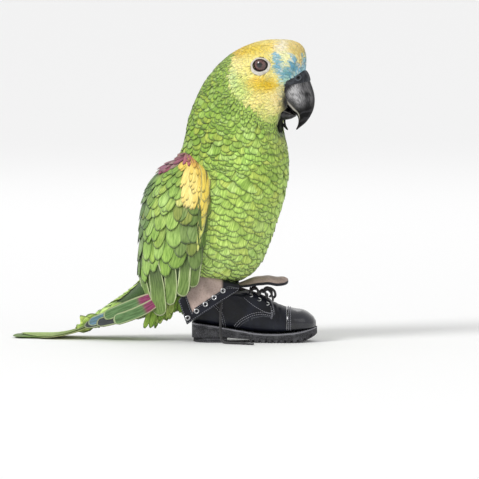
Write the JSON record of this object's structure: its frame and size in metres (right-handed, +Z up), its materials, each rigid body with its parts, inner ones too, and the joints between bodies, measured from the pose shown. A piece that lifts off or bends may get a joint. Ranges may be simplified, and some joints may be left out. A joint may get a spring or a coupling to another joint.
{
  "type": "amazon parrot",
  "caption": "Upright green amazon parrot with a yellow face, blue forehead and black bill, its feet in an unlaced black leather child's boot, tail laid back on the floor.",
  "frame": {"origin": "on the floor, on the flat bottom of the boot's heel, under the bird's belly", "axes": "+X the way the bird faces, +Y its left, +Z up; the bird's own plane of symmetry is Y = 0, and the boot's toe is turned 15 degrees from +X towards +Y"},
  "size_m": [0.2566, 0.0956, 0.2483],
  "materials": {
    "plumage_yellow": "soft feathers",
    "cere_skin": "matt bare skin",
    "bill_horn": "satin horn",
    "eye": "wet gloss",
    "plumage_green": "soft feathers",
    "tail_feathers": "soft feathers",
    "wing_feathers": "soft feathers",
    "quills": "soft feathers",
    "scaly_skin": "matt scales",
    "claw_horn": "satin horn",
    "boot_leather": "polished",
    "sole_rubber": "matt",
    "boot_lining": "matt lining leather",
    "eyelet_metal": "nickel plated",
    "lace": "waxed braid",
    "lace_tip": "gloss"
  },
  "bodies": {
    "root": {"head": "plumage_yellow", "cere": "cere_skin", "bill_upper": "bill_horn", "bill_lower": "bill_horn", "eye_right": "eye", "eye_left": "eye", "neck": "plumage_green", "trunk": "plumage_green", "rump": "plumage_green", "thigh_right": "plumage_green", "thigh_left": "plumage_green", "tail": "tail_feathers", "wing_right": "wing_feathers", "wing_left": "wing_feathers", "primaries_right": "quills", "primaries_left": "quills", "foot_right": "scaly_skin", "foot_left": "scaly_skin", "claw_right_1": "claw_horn", "claw_right_2": "claw_horn", "claw_right_3": "claw_horn", "claw_right_4": "claw_horn", "claw_left_1": "claw_horn", "claw_left_2": "claw_horn", "claw_left_3": "claw_horn", "claw_left_4": "claw_horn", "boot_upper": "boot_leather", "boot_toe_cap": "boot_leather", "boot_sole": "sole_rubber", "boot_heel": "sole_rubber", "boot_tongue": "boot_lining", "boot_flap_near": "boot_lining", "boot_flap_far": "boot_lining", "eyelet_near_1": "eyelet_metal", "eyelet_near_2": "eyelet_metal", "eyelet_near_3": "eyelet_metal", "eyelet_near_4": "eyelet_metal", "eyelet_near_5": "eyelet_metal", "eyelet_far_1": "eyelet_metal", "eyelet_far_2": "eyelet_metal", "eyelet_far_3": "eyelet_metal", "eyelet_far_4": "eyelet_metal", "eyelet_far_5": "eyelet_metal", "lace_bar_1": "lace", "lace_bar_2": "lace", "lace_bar_3": "lace", "lace_loop": "lace", "lace_free": "lace", "lace_tip": "lace_tip"}
  },
  "joints": []
}
